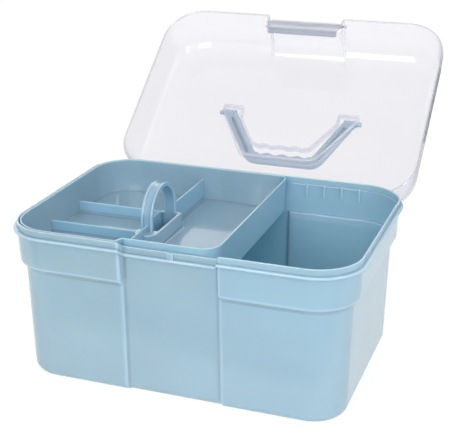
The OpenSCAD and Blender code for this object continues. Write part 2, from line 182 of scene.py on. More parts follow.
class LatchSizes(bpy.types.PropertyGroup):
    """Sizes of the front latch."""
    latch_width: length("Latch width", "Width of the latch", 98)
    latch_thick: length("Latch thickness", "Thickness of the latch's plate", 2.5)
    latch_radius: length("Latch barrel", "Radius of the latch's barrel", 3.3)
    latch_pin_radius: length("Latch pin", "Radius of the latch's pin", 1.5)
    latch_rise: length("Latch rise", "Height of the latch's pin over the flange", 11)
    latch_tail: length("Latch tail", "How far the plate runs on below the hook", 2)
    hook_width: length("Hook width", "Width of the hook", 94)
    hook_height: length("Hook height", "Height of the hook", 4)
    scoop_depth: length("Thumb scoop", "Depth of the thumb scoop in the free edge", 0.9)
    scoop_width: length("Scoop width", "Width of the thumb scoop", 46)
    latch_hang: angle("Latch swing", "How far the latch has swung in", LATCH_HANG)


class HandleSizes(bpy.types.PropertyGroup):
    """Sizes of the carry handle and its pocket."""
    handle_span: length("Hub distance", "Distance between the hubs", 164)
    grip_span: length("Grip length", "Distance between the bends", 88)
    handle_reach: length("Reach", "Distance from the pivots to the grip", 58)
    handle_width: length("Handle width", "Width of the grip and the arms", 16)
    handle_thick: length("Handle thickness", "Thickness of the handle", 9)
    handle_round: length("Handle edges", "Rounding of the handle's edges", 3)
    groove_width: length("Groove width", "Width of the groove along each arm", 4)
    groove_depth: length("Groove depth", "Depth of the groove along each arm", 3)
    pivot_front: length("Pivot", "Distance of the pivots in front of the middle", 4)
    stub_radius: length("Stub radius", "Radius of the stub pins", 3)
    stub_length: length("Stub length", "Length of a stub pin", 7)
    finger_pitch: length("Finger pitch", "Distance between finger hollows", 20.5)
    finger_depth: length("Finger depth", "Depth of a finger hollow", 2.5)
    pocket_depth: length("Pocket depth", "Depth of the pocket in the lid", 10)
    pocket_clear: length("Pocket gap", "Gap round the folded handle", 1.5)
    lift_room: length("Lift room", "Room in the pocket beside each hub", 5.5)
    handle_hang: angle("Handle swing", "How far the handle hangs out of its pocket", HANDLE_HANG)


class TraySizes(bpy.types.PropertyGroup):
    """Sizes of the insert tray."""
    tray_height: length("Tray height", "Height of the tray", 42.5)
    tray_wall: length("Tray wall", "Wall thickness of the tray", 2)
    tray_right: length("Tray end", "Distance of the tray's right wall from the middle", 47)
    tray_corner: length("Tray corner", "Corner radius of the right end at the front", 20)
    tray_back_corner: length("Tray back corner", "Corner radius of the right end at the back", 10)
    tray_lean: length("Tray lean", "Lean of the tray's wall", 1.5)
    tray_edge: length("Tray edge", "Radius of the tray's lower edge", 2)
    tray_clear: length("Tray gap", "Gap between the tray and the box", 0.7)
    divider_left: length("Long divider", "Distance of the long divider from the middle", 61)
    divider_height: length("Divider height", "Height of the long divider", 28)
    short_offset: length("Short dividers", "Distance of the short dividers from the middle", 34)
    short_height: length("Short height", "Height of the short dividers", 16)
    loop_length: length("Loop length", "Length of the loop over its feet", 70)
    loop_rise: length("Loop rise", "Height of the loop above the long divider", 38)
    loop_width: length("Loop width", "Width of the loop", 13.5)
    loop_thick: length("Loop thickness", "Thickness of the loop", 5)
    loop_front: length("Loop place", "Distance of the loop in front of the middle", 9)
    well_width: length("Well width", "Width of the well under the loop", 26)
    well_height: length("Well height", "Height of the well's rim above the tray's underside", 21)
    well_nose: length("Well nose", "How far the well runs on in front of the loop", 12)


class Looks(bpy.types.PropertyGroup):
    """Colours and light."""
    box_blue: colour("Box", "Colour of the box", (0.346, 0.507, 0.631))
    tray_blue: colour("Tray", "Colour of the tray", (0.303, 0.468, 0.602))
    handle_blue: colour("Handle", "Colour of the carry handle", (0.362, 0.492, 0.566))
    lid_clear_tint: colour("Lid", "Tint of the clear lid", (0.99, 0.988, 1.0))
    latch_smoke: colour("Latch", "Tint of the smoky latch", (0.77, 0.785, 0.83))
    pin_steel: colour("Pins", "Colour of the wire pins", (0.52, 0.53, 0.55))
    lid_milk: colour("Lid milk", "Colour of the haze in the lid", (0.95, 0.945, 1.0))
    lid_sheen: colour("Lid sheen", "Colour of the lid's gloss", (0.57, 0.57, 0.64))
    latch_milk: colour("Latch milk", "Colour of the haze in the latch", (0.74, 0.76, 0.82))
    latch_sheen: colour("Latch sheen", "Colour of the latch's gloss", (0.9, 0.9, 0.93))
    box_rough: share("Box roughness", "How rough the box's plastic is", 0.13)
    tray_rough: share("Tray roughness", "How rough the tray's plastic is", 0.1)
    handle_rough: share("Handle roughness", "How rough the handle's plastic is", 0.14)
    lid_rough: share("Lid roughness", "How rough the lid's plastic is", 0.08)
    latch_rough: share("Latch roughness", "How rough the latch's plastic is", 0.1)
    lid_haze: share("Lid haze", "How milky the clear lid is", 0.13)
    latch_haze: share("Latch haze", "How milky the smoky latch is", 0.35)
    card_height: length("Card height", "Height of the dim card behind, which only reflections show", 480)
    panel_height: length("Panel height", "Height of the bright panel over the card", 700)
    ambient: share("Ambient", "Strength of the light from all around", 0.44)


GROUPS = {
    "groom_box": BoxSizes, "groom_lid": LidSizes, "groom_latch": LatchSizes,
    "groom_handle": HandleSizes, "groom_tray": TraySizes, "groom_looks": Looks,
}


def sizes(context):
    """Every size in millimetres, angles in radians, and the heights and insets that follow from them."""
    s = SimpleNamespace()
    for attribute in GROUPS:
        group = getattr(context.scene, attribute)
        for prop in group.bl_rna.properties:
            if prop.identifier in ("rna_type", "name"):
                continue
            value = getattr(group, prop.identifier)
            setattr(s, prop.identifier, value / MM if prop.unit == "LENGTH" else value)
    s.half_depth = s.lip_depth / 2
    s.z_flange = s.box_height - s.lip_height
    s.z_flange_low = s.z_flange - s.flange_thick
    s.z_collar = s.z_flange_low - s.collar_height
    s.z_step = s.z_collar - s.collar_bevel
    s.ledge_lip = s.box_wall * LEDGE_SHARE
    s.z_ledge = s.z_collar + s.ledge_lip
    s.out_collar = -s.collar_lean
    s.out_low = s.out_collar - s.collar_step
    s.out_base = s.out_low - s.wall_draft
    s.in_base = s.recess_depth + s.out_low
    s.panel_y = s.half_depth - s.recess_depth
    s.panel_out = s.collar_step * PANEL_SHARE
    s.z_seam = s.z_flange + s.seat_clear
    s.z_top = s.z_flange + s.lid_height
    s.out_lid = s.lid_clear + s.lid_wall
    s.z_band = s.box_height + s.moving_clear
    s.out_dome = s.out_lid - s.skirt_lean
    s.y_hinge = s.half_depth + s.hinge_back
    s.z_hinge = s.z_flange - s.hinge_drop
    s.arm_half = s.hinge_radius * ARM_SHARE
    s.panel_lid_y = s.panel_y + s.out_lid
    s.y_latch = s.half_depth + s.out_lid - s.latch_radius - (s.lid_wall - s.lid_clear) / 2
    s.z_latch = s.z_flange + s.latch_rise
    s.notch_top = s.z_latch + s.latch_radius + s.moving_clear * 2
    s.notch_half = s.latch_width / 2 + s.moving_clear
    s.latch_pin_end = s.recess_width / 2 + s.recess_ramp + s.moving_clear * 2
    s.hook_reach = s.y_latch - s.panel_y - s.flange_out * HOOK_SHARE
    s.z_rail_low = s.z_flange_low - s.rail_drop
    s.hook_top = s.z_rail_low - s.moving_clear
    s.latch_length = s.z_latch - s.hook_top + s.hook_height + s.latch_tail
    s.z_pocket = s.z_top - s.pocket_depth
    s.z_pivot = s.z_pocket + s.moving_clear + s.handle_thick / 2
    s.handle_half = s.handle_width / 2
    s.hub_out = s.handle_span / 2 + s.handle_half
    s.grip_y = s.handle_reach - s.pivot_front
    s.z_tray = s.z_ledge + s.seat_clear
    s.z_tray_top = s.z_tray + s.tray_height
    s.out_tray = -s.box_wall - s.tray_clear
    s.z_divider = s.z_tray + s.divider_height
    s.loop_radius = s.loop_length / 2
    s.z_well = s.z_tray + s.well_height
    return s


def soften(points, setbacks, steps, across, closed=False):
    """A polyline with rounded corners. A corner's curve starts and ends its setback away along both edges,
    and the first `across` columns of the points measure that distance."""
    points = np.asarray(points, float)
    last = len(points) - 1
    rows = []
    for i, corner in enumerate(points):
        if setbacks[i] <= 0 or (not closed and i in (0, last)):
            rows.append(corner)
            continue
        ends = []
        for other in (points[i - 1], points[(i + 1) % len(points)]):
            reach = max(np.linalg.norm((other - corner)[:across]), 1e-9)
            ends.append(corner + (other - corner) * min(setbacks[i] / reach, 0.45))
        for t in np.linspace(0, 1, steps + 1):
            rows.append((1 - t) ** 2 * ends[0] + 2 * t * (1 - t) * corner + t * t * ends[1])
    return np.array(rows)


def quarter(steps):
    """The course of a rounded edge of radius 1, as pairs of 1 - cos and 1 - sin over a quarter turn."""
    return [(1 - math.cos(t), 1 - math.sin(t)) for t in np.linspace(0, math.pi / 2, steps + 1)]


def arc(x, y, r, start, steps=16):
    turn = np.radians(np.linspace(start, start + 90, steps + 1))
    return np.column_stack([x + r * np.cos(turn), y + r * np.sin(turn)])


def at_height(points, z):
    points = np.asarray(points, float)
    return np.column_stack([points[:, 0], points[:, 1], np.full(len(points), z)])


def plan(s, z, out, step_in, shift, drop=0.0, back_out=0.0, back_shift=0.0):
    """Outline of the box and the lid at height z, grown by out from the lip. The middle of the front lies
    step_in further in and drop lower, and the middle of the back stands back_out further out."""
    a, b, r = s.lip_width / 2 + out, s.half_depth + out, s.corner_radius + out
    w, v = s.recess_width / 2 + shift, s.recess_width / 2 + back_shift
    e, f = w + s.recess_ramp, v + s.recess_ramp
    c, d = b - step_in, b + back_out
    back = [(a - r, b, z), (f, b, z), (v, d, z), (-v, d, z), (-f, b, z), (r - a, b, z)]
    front = [(r - a, -b, z), (-e, -b, z), (-w, -c, z - drop), (w, -c, z - drop), (e, -b, z), (a - r, -b, z)]
    jogs = (0, *[ROUND.jog] * 4, 0)
    return np.vstack([
        at_height(arc(a - r, b - r, r, 0), z), soften(back, jogs, 4, 3)[1:-1],
        at_height(arc(r - a, b - r, r, 90), z), at_height(arc(r - a, r - b, r, 180), z),
        soften(front, jogs, 4, 3)[1:-1], at_height(arc(a - r, r - b, r, 270), z)])


def tray_plan(s, z, out):
    """Outline of the tray at height z, grown by out from its own outside."""
    g = s.out_tray + out
    a, b, r = s.lip_width / 2 + g, s.half_depth + g, s.corner_radius + g
    w = s.recess_width / 2 + s.box_wall + s.tray_clear - out
    e, c = w + s.recess_ramp, b - s.recess_depth
    x, q, k = s.tray_right + out, s.tray_corner + out, s.tray_back_corner + out
    front = [(r - a, -b), (-e, -b), (-w, -c), (x - q, -c)]
    jogs = (0, ROUND.tray_jog, ROUND.tray_jog, 0)
    points = np.vstack([
        arc(x - k, b - k, k, 0), arc(r - a, b - r, r, 90),
        arc(r - a, r - b, r, 180), soften(front, jogs, 4, 2)[1:-1], arc(x - q, q - c, q, 270)])
    return at_height(points, z)


def solid(name, points, faces):
    """An object of faces over points in millimetres, with its faces pointing outwards."""
    mesh = bpy.data.meshes.new(name)
    mesh.from_pydata([(x * MM, y * MM, z * MM) for x, y, z in points], [], faces)
    work = bmesh.new()
    work.from_mesh(mesh)
    bmesh.ops.remove_doubles(work, verts=work.verts, dist=1e-7)
    bmesh.ops.recalc_face_normals(work, faces=work.faces)
    work.to_mesh(mesh)
    work.free()
    piece = bpy.data.objects.new(name, mesh)
    bpy.context.scene.collection.objects.link(piece)
    return piece


def lofted(name, rings):
    """A closed skin over a row of rings with equal numbers of points, with both ends filled."""
    n, last = len(rings[0]), (len(rings) - 1) * len(rings[0])
    faces = [(p + i, p + (i + 1) % n, p + n + (i + 1) % n, p + n + i)
             for p in range(0, last, n) for i in range(n)]
    faces += [tuple(range(n - 1, -1, -1)), tuple(range(last, last + n))]
    return solid(name, [tuple(point) for ring in rings for point in ring], faces)


def rod(name, x0, x1, y, z, r, soft=0.4, sides=32):
    """A round bar along X with softened ends."""
    rows = soften([(x0, 0.01), (x0, r), (x1, r), (x1, 0.01)], (0, soft, soft, 0), 3, 2)
    turn = np.radians(np.arange(sides) * 360 / sides)
    return lofted(name, [np.column_stack([np.full(sides, x), y + k * np.cos(turn), z + k * np.sin(turn)])
                         for x, k in rows])


def block(name, low, high, soft=0.6):
    """A block with softened upright and level edges."""
    (x0, y0, z0), (x1, y1, z1) = low, high
    rings = []
    for z, grow in soften([(z0, -soft), (z0, 0), (z1, 0), (z1, -soft)], (0, soft, soft, 0), 3, 2):
        left, right, front, back = x0 - grow, x1 + grow, y0 - grow, y1 + grow
        corners = [(right, front), (right, back), (left, back), (left, front)]
        rings.append(at_height(soften(corners, [soft] * 4, 3, 2, closed=True), z))
    return lofted(name, rings)


def turner(y, z, turn):
    """A function that turns points about an axis along X through y and z."""
    cos, sin = math.cos(turn), math.sin(turn)

    def turned(points):
        dy, dz = points[:, 1] - y, points[:, 2] - z
        return np.column_stack([points[:, 0], y + dy * cos - dz * sin, z + dy * sin + dz * cos])
    return turned


def opened(s):
    """Turns points of the closed lid into the open pose."""
    return turner(s.y_hinge, s.z_hinge, -s.open_angle)


def points_of(piece):
    """A piece's own points in millimetres."""
    points = np.empty(len(piece.data.vertices) * 3)
    piece.data.vertices.foreach_get("co", points)
    return points.reshape(-1, 3) / MM


def place(piece, turn):
    """Moves a piece's own points, in millimetres, by a turning function."""
    piece.data.vertices.foreach_set("co", (turn(points_of(piece)) * MM).ravel())
    piece.data.update()


def settle(piece):
    """Turns what the modifiers give into the piece's plain mesh."""
    depsgraph = bpy.context.evaluated_depsgraph_get()
    mesh = bpy.data.meshes.new_from_object(piece.evaluated_get(depsgraph), preserve_all_data_layers=True,
                                           depsgraph=depsgraph)
    old = piece.data
    piece.modifiers.clear()
    piece.data = mesh
    mesh.name = piece.name
    bpy.data.meshes.remove(old)
    return piece


def discard(piece):
    mesh = piece.data
    bpy.data.objects.remove(piece)
    bpy.data.meshes.remove(mesh)


def joined(piece, others, operation="UNION"):
    """The piece with the others moulded on, or cut out of it."""
    for other in others:
        step = piece.modifiers.new("join", "BOOLEAN")
        step.operation = operation
        step.solver = "MANIFOLD"
        step.object = other
    settle(piece)
    for other in others:
        discard(other)
    work = bmesh.new()
    work.from_mesh(piece.data)
    open_edges = sum(not edge.is_manifold for edge in work.edges)
    work.free()
    if open_edges or not piece.data.polygons:
        raise RuntimeError(f"{piece.name}: joining left {open_edges} open edges")
    return piece


def cut(piece, others):
    return joined(piece, others, "DIFFERENCE")


def mark_edges(work):
    """Writes the attribute "edge": above 0 on the narrow faces of a rounded edge, below 0 in a hollow one."""
    layer = work.loops.layers.float.new("edge")
    for face in work.faces:
        spans = [edge.calc_length() for edge in face.edges]
        bend = 0.0
        if face.calc_area() < max(spans) * NARROW_FACE * MM:
            turns = [edge.calc_face_angle_signed(0.0) for edge in face.edges]
            bend = sum(turn * span for turn, span in zip(turns, spans)) / sum(spans) / FULL_BEND
        for corner in face.loops:
            corner[layer] = min(max(bend, -1.0), 1.0)


def smoothed(piece, material, sharp=38):
    """Smooth shading with flat panels kept flat, and the finish put on."""
    mesh = piece.data
    work = bmesh.new()
    work.from_mesh(mesh)
    bmesh.ops.remove_doubles(work, verts=work.verts, dist=2e-6)
    bmesh.ops.dissolve_degenerate(work, edges=work.edges, dist=1e-6)
    mark_edges(work)
    work.to_mesh(mesh)
    work.free()
    mesh.polygons.foreach_set("use_smooth", [True] * len(mesh.polygons))
    mesh.set_sharp_from_angle(angle=math.radians(sharp))
    step = piece.modifiers.new("even normals", "WEIGHTED_NORMAL")
    step.keep_sharp = True
    settle(piece)
    piece.data.materials.clear()
    piece.data.materials.append(material)
    piece.data.polygons.foreach_set("material_index", [0] * len(piece.data.polygons))
    return piece


def fitted(piece, body, slot, *nodes):
    """Puts a finished piece on its body in place of its CAD node."""
    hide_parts(*nodes)
    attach(piece, body)


class Socket:
    """A node's output that arithmetic can be written with: each operator adds a Math node."""

    def __init__(self, tree, socket):
        self.tree = tree
        self.socket = socket

    def maths(self, operation, *values, clamp=False):
        node = self.tree.nodes.new("ShaderNodeMath")
        node.operation = operation
        node.use_clamp = clamp
        for socket, value in zip(node.inputs, values):
            feed(socket, value)
        return Socket(self.tree, node.outputs[0])

    def __add__(self, other):
        return self.maths("ADD", self, other)

    def __sub__(self, other):
        return self.maths("SUBTRACT", self, other)

    def __rsub__(self, other):
        return self.maths("SUBTRACT", other, self)

    def __mul__(self, other):
        return self.maths("MULTIPLY", self, other)

    __radd__ = __add__
    __rmul__ = __mul__

    def __pow__(self, other):
        return self.maths("POWER", self, other)

    def __abs__(self):
        return self.maths("ABSOLUTE", self)

    def clamped(self):
        return self.maths("ADD", self, 0.0, clamp=True)


def feed(socket, value):
    """Links a node's output to a socket, or sets the socket's own value."""
    if isinstance(value, Socket):
        value.tree.links.new(value.socket, socket)
    else:
        socket.default_value = value


class Nodes:
    """A node tree that nodes are added to by one method."""

    def __init__(self, tree):
        self.tree = tree

    def add(self, kind, *ordered, out=0, settings=None, stops=(), **named):
        """Adds a node with its settings, its ramp's stops and its inputs, and returns one of its outputs.
        Inputs come in order or by name, with _ for a space. A list goes into one input that joins several."""
        node = self.tree.nodes.new(kind)
        for key, value in (settings or {}).items():
            setattr(node, key, value)
        for index, (position, rgba) in enumerate(stops):
            ramp = node.color_ramp.elements
            stop = ramp[index] if index < len(ramp) else ramp.new(position)
            stop.position = position
            stop.color = rgba
        for socket, value in zip(node.inputs, ordered):
            feed(socket, value)
        for key, value in named.items():
            for source in value if isinstance(value, list) else [value]:
                feed(node.inputs[key.replace("_", " ")], source)
        return Socket(self.tree, node.outputs[out]) if node.outputs else None

    def mixed(self, share_of_second, first, second):
        return self.add("ShaderNodeMixShader", share_of_second, first, second)

    def rays(self, kind):
        """1 for rays of one kind, and 0 for all others."""
        return self.add("ShaderNodeLightPath", out=f"Is {kind} Ray")

    def seen_rays(self):
        """1 for the rays that show a background, and 0 for those that carry its light."""
        return sum(self.rays(kind) for kind in ("Camera", "Transmission", "Glossy")).clamped()


def opaque(rgb, dim=1.0, pale=0.0):
    """A colour for a socket, dimmed by a share and made paler by a step."""
    return tuple(value * dim + pale for value in rgb) + (1,)


class Finish(Nodes):
    """The nodes of a new material, with the patterns that the finishes share."""

    def __init__(self, name):
        self.material = bpy.data.materials.new(name)
        self.material.use_nodes = True
        self.material.node_tree.nodes.clear()
        super().__init__(self.material.node_tree)

    def where(self, scale=None, turn=(0.0, 0.0, 0.0)):
        """The piece's own coordinates in metres, turned and stretched where a scale is given."""
        own = self.add("ShaderNodeTexCoord", out="Object")
        if scale is None:
            return own
        return self.add("ShaderNodeMapping", Vector=own, Rotation=turn, Scale=scale)

    def noise(self, scale, detail=2.0, where=None):
        return self.add("ShaderNodeTexNoise", Vector=where or self.where(), Scale=scale, Detail=detail)

    def attribute(self, name):
        return self.add("ShaderNodeAttribute", out="Fac", settings={"attribute_name": name})

    def ramp(self, value, *stops):
        return self.add("ShaderNodeValToRGB", stops=stops, Fac=value)

    def bump(self, height, strength, distance, **under):
        return self.add("ShaderNodeBump", Height=height, Strength=strength, Distance=distance, **under)

    def done(self, surface):
        self.add("ShaderNodeOutputMaterial", Surface=surface)
        return self.material


def moulded_plastic(name, rgb, rough):
    """Satin polypropylene: soft tonal clouds, flow marks, a fine spark-eroded grain, slightly uneven gloss,
    and a painted highlight on rounded edges with painted shade in the hollows."""
    finish = Finish(name)
    clouds = finish.noise(7.0, 3.0)
    grain = finish.noise(1400.0)
    flow = finish.noise(1.0, 3.0, finish.where((9.0, 9.0, 30.0)))
    # The plastic's own random tone from clouds and flow marks, plus a painted highlight on rounded edges and
    # painted shade in hollows from the "edge" attribute.
    tone_and_painted_edge_light = (clouds * 0.35 + flow * 0.15 + finish.attribute("edge") * 0.4 + 0.25).clamped()
    tone_stops_with_painted_edge_light = [(position, opaque(rgb, dim, pale)) for position, dim, pale in PLASTIC_TONES_AND_PAINTED_EDGE_LIGHT]
    return finish.done(finish.add(
        "ShaderNodeBsdfPrincipled", Base_Color=finish.ramp(tone_and_painted_edge_light, *tone_stops_with_painted_edge_light),
        Roughness=rough + (clouds - 0.5) * 0.06 + (grain - 0.5) * 0.03,
        Normal=finish.bump(grain, 0.04, 0.00008, Normal=finish.bump(flow, 0.04, 0.001)),
        IOR=1.62, Subsurface_Weight=0.55, Subsurface_Radius=(0.45, 0.8, 1.0), Subsurface_Scale=0.0135))


def clear_plastic(name, tint, haze, milk, sheen, rough, rim=None):
    """Clear moulded plastic: a tinted see-through skin with a little milk in it, and more milk along its
    bends as painted refraction lines, under a gloss that thickens where it is seen edge on, with faint
    moulding waves and hairline wear. Rim names an attribute with the height above the seam in millimetres;
    near the seam more dim gloss paints a grey line where the sheet's own edge shows."""
    finish = Finish(name)
    clouds = finish.noise(11.0)
    hairs = finish.noise(1.0, 1.0, finish.where((30.0, 900.0, 400.0), (0.4, 0.2, 0.5)))
    worn = rough + clouds * 0.03 + (hairs - 0.5) * 0.03
    surface = finish.bump(clouds, 0.05, 0.001)
    through = finish.add("ShaderNodeBsdfTransparent", Color=opaque(tint))
    inside = finish.add("ShaderNodeBsdfTranslucent", Color=opaque(milk))
    skin = finish.add("ShaderNodeBsdfPrincipled", Base_Color=opaque(milk), Roughness=worn, Normal=surface,
                      IOR=1.49)
    # Painted refraction lines: more milk on the narrow bent faces, which the material itself doesn't have.
    haze_and_painted_bend_lines = haze + (clouds - 0.5) * 0.04 + abs(finish.attribute("edge")) * 0.3
    hazy = finish.mixed(haze_and_painted_bend_lines.clamped(), through, finish.mixed(0.5, inside, skin))
    gloss = finish.add("ShaderNodeBsdfGlossy", Color=opaque(sheen), Roughness=worn, Normal=surface)
    edge_on_gloss_and_painted_rim_line = finish.add("ShaderNodeLayerWeight", out="Facing", Blend=0.5) ** 8.0 * 0.9 + 0.04
    if rim:
        # Painted grey line: more dim gloss in the lowest 2.4 mm above the seam, where the sheet's own edge
        # shows.
        edge_on_gloss_and_painted_rim_line = edge_on_gloss_and_painted_rim_line + (2.4 - finish.attribute(rim)).clamped() * 0.22
    return finish.done(finish.mixed(edge_on_gloss_and_painted_rim_line.clamped(), hazy, gloss))


def drawn_wire(name, rgb):
    """Drawn steel wire: fine lines along its length and uneven polish."""
    finish = Finish(name)
    lines = finish.noise(1.0, 2.0, finish.where((12.0, 2600.0, 2600.0)))
    tone = finish.ramp(lines, (0.3, opaque(rgb, 0.75)), (0.7, opaque(rgb)))
    return finish.done(finish.add(
        "ShaderNodeBsdfPrincipled", Base_Color=tone, Metallic=1.0, Normal=finish.bump(lines, 0.15, 0.00008),
        Roughness=0.26 + finish.noise(240.0) * 0.16))


class Rule(Nodes):
    """A Geometry Nodes tree with named inputs, whose result becomes a plain mesh."""

    def __init__(self, name, **inputs):
        super().__init__(bpy.data.node_groups.new(name, "GeometryNodeTree"))
        self.tree.interface.new_socket("Geometry", in_out="OUTPUT", socket_type="NodeSocketGeometry")
        kinds = {float: "NodeSocketFloat", int: "NodeSocketInt", tuple: "NodeSocketVector"}
        self.values = {}
        for key, value in inputs.items():
            kind = kinds.get(type(value), "NodeSocketMaterial")
            socket = self.tree.interface.new_socket(key, in_out="INPUT", socket_type=kind)
            self.values[socket.identifier] = value
        self.given = {key: self.add("NodeGroupInput", out=key) for key in inputs}

    def made(self, name, *parts):
        """Puts the parts on the row of points that Count, First and Step give, ends the tree in real geometry
        with the finish on it, and returns the object that it gives."""
        given = self.given
        row = self.add("GeometryNodeMeshLine", Count=given["Count"], Start_Location=given["First"],
                       Offset=given["Step"])
        copies = [self.add("GeometryNodeInstanceOnPoints", Points=row, Instance=part) for part in parts]
        real = self.add("GeometryNodeRealizeInstances",
                        Geometry=self.add("GeometryNodeJoinGeometry", Geometry=copies))
        painted = self.add("GeometryNodeSetMaterial", Geometry=real, Material=given["Finish"])
        self.add("NodeGroupOutput", Geometry=painted)
        piece = bpy.data.objects.new(name, bpy.data.meshes.new(name))
        bpy.context.scene.collection.objects.link(piece)
        step = piece.modifiers.new("rule", "NODES")
        step.node_group = self.tree
        for identifier, value in self.values.items():
            step[identifier] = value
        settle(piece)
        if not piece.data.polygons:
            raise RuntimeError(f"{name}: the rule made nothing")
        return piece


def bar_row(name, finish, number, first, step, size, soft):
    """A row of equal upright bars with rounded corners, in metres."""
    rule = Rule(name, Count=number, First=first, Step=step, Width=size[0], Depth=size[1], Height=size[2],
                Corner=soft, Finish=finish)
    given = rule.given
    outline = rule.add("GeometryNodeCurvePrimitiveQuadrilateral", Width=given["Width"], Height=given["Depth"])
    rounded = rule.add("GeometryNodeFilletCurve", Curve=outline, Radius=given["Corner"])
    foot = rule.add("GeometryNodeFillCurve", Curve=rounded)
    bar = rule.add("GeometryNodeExtrudeMesh", Mesh=foot, Offset=rule.add("ShaderNodeCombineXYZ", Z=1.0),
                   Offset_Scale=given["Height"], Individual=False)
    under = rule.add("GeometryNodeFlipFaces", Mesh=foot)
    both = rule.add("GeometryNodeJoinGeometry", Geometry=[bar, under])
    return rule.made(name, rule.add("GeometryNodeMergeByDistance", Geometry=both, Distance=1e-6))


def knuckle_row(name, finish, number, first, step, size, blocks):
    """Equal hinge barrels in a row, each with the blocks that join it to its panel, in metres."""
    inputs = {"Count": number, "First": first, "Step": step, "Length": size[0], "Radius": size[1]}
    for i, (middle, extent) in enumerate(blocks):
        inputs[f"Block {i} middle"] = middle
        inputs[f"Block {i} size"] = extent
    rule = Rule(name, Finish=finish, **inputs)
    given = rule.given
    barrel = rule.add("GeometryNodeMeshCylinder", Vertices=32, Radius=given["Radius"], Depth=given["Length"])
    parts = [rule.add("GeometryNodeTransform", Geometry=barrel, Rotation=(0.0, math.pi / 2, 0.0))]
    for i in range(len(blocks)):
        arm = rule.add("GeometryNodeMeshCube", Size=given[f"Block {i} size"])
        parts.append(rule.add("GeometryNodeTransform", Geometry=arm, Translation=given[f"Block {i} middle"]))
    return rule.made(name, *parts)


def metres(*values):
    return tuple(float(v) * MM for v in values)


def hinge_bore(s):
    half = s.recess_width / 2
    return rod("bore", -half, half, s.y_hinge, s.z_hinge, s.pin_bore, 0)


def box_shell(s):
    """The box's skin, from its foot over the rim to its floor. A row holds what plan takes after s."""
    wall, depth, drop, outside = s.box_wall, s.recess_depth, s.rail_drop, s.panel_out
    jog, inner = -s.flange_out * JOG_SHARE, s.base_radius - s.box_wall
    lip_lean, lip_sink, step_fall, step_out = 0.3, 0.5, 0.4, 0.2
    lip_foot = s.z_flange - lip_sink
    foot = [(s.base_radius * c, s.out_base - s.base_radius * k, s.in_base, 0, 0, outside, 0)
            for c, k in quarter(8)]
    floor = [(wall + inner * c, s.out_base - wall - inner * k, s.in_base, wall, 0, outside, -wall)
             for c, k in quarter(8)[::-1]]
    edges = [
        (ROUND.collar, (s.z_step, s.out_low, s.in_base, 0, 0, outside, 0)),
        (ROUND.collar, (s.z_collar, s.out_collar, depth + s.out_collar, 0, 0, 0, 0)),
        (ROUND.flange_root, (s.z_flange_low, 0, depth, 0, drop, 0, 0)),
        (ROUND.flange, (s.z_flange_low, s.flange_out, depth, jog, drop, 0, 0)),
        (ROUND.flange, (s.z_flange, s.flange_out, depth, jog, drop, 0, 0)),
        (ROUND.lip_root, (s.z_flange, 0, depth, 0, drop, 0, 0)),
        (ROUND.lip, (s.box_height, 0, depth, 0, drop, 0, 0)),
        (ROUND.lip, (s.box_height, lip_lean - s.lip_thick, depth, s.lip_thick, drop, 0, 0)),
        (ROUND.lip_step, (lip_foot, -s.lip_thick, depth, s.lip_thick, drop, 0, 0)),
        (ROUND.lip_step, (lip_foot - step_fall, -wall - step_out, depth, wall, drop, 0, 0)),
        (ROUND.ledge, (s.z_ledge, s.out_collar - wall, depth + s.out_collar, wall, 0, 0, -wall)),
        (ROUND.ledge, (s.z_ledge, s.out_low - wall + s.ledge_lip, s.in_base + s.ledge_lip, wall, 0,
                       outside - s.ledge_lip * PANEL_SHARE, -wall)),
        (ROUND.inner_step, (s.z_step, s.out_low - wall, s.in_base, wall, 0, outside, -wall)),
    ]
    rows = foot + [row for _, row in edges] + floor
    setbacks = [0] * len(foot) + [soft for soft, _ in edges] + [0] * len(floor)
    return lofted("box_shell", [plan(s, *row) for row in soften(rows, setbacks, 3, 2)])


def flange_gaps(s):
    """The gaps in the back flange that the lid's barrels turn in."""
    start, width = s.mid_knuckle / 2, s.lid_knuckle + s.moving_clear * 2
    return [block("gap", (x, s.half_depth + s.seat_clear, s.z_flange_low - OVERLAP),
                  (x + width, s.half_depth + s.flange_out + OVERLAP, s.z_flange + OVERLAP))
            for x in (-start - width, start)]


def rim_ribs(s, finish):
    """The ribs inside the back collar."""
    depth = s.rib_out + s.collar_lean + s.box_wall * ROOT_SHARE
    front = s.half_depth - s.box_wall - s.collar_lean - s.rib_out
    first = metres(s.rib_start, front + depth / 2, s.z_flange - s.rib_height)
    return bar_row("rim_ribs", finish, s.rib_count, first, metres(s.rib_pitch, 0, 0),
                   metres(s.rib_thick, depth, s.rib_height), ROUND.rib * MM)


def catch_nub(s):
    """The nub in the middle of the catch rail."""
    low, high = s.z_rail_low + s.flange_thick / 2, s.box_height - s.rail_drop - s.seat_clear
    return block("nub", (-s.nub_width / 2, -s.panel_y - s.nub_out, low),
                 (s.nub_width / 2, -s.panel_y + s.lip_thick * ROOT_SHARE, high), ROUND.nub)


def box_barrels(s, finish):
    """The box's three hinge barrels."""
    reach = s.y_hinge - s.half_depth + s.box_wall * ROOT_SHARE
    outer = s.mid_knuckle / 2 + s.moving_clear * 2 + s.lid_knuckle + s.box_knuckle / 2
    rows = (("box_barrels_middle", 1, 0.0, s.mid_knuckle), ("box_barrels_outer", 2, -outer, s.box_knuckle))
    return [knuckle_row(name, finish, number, metres(x, s.y_hinge, s.z_hinge), metres(outer * 2, 0, 0),
                        metres(size, s.hinge_radius),
                        [(metres(0, -reach / 2, 0), metres(size, reach, s.arm_half * 2))])
            for name, number, x, size in rows]


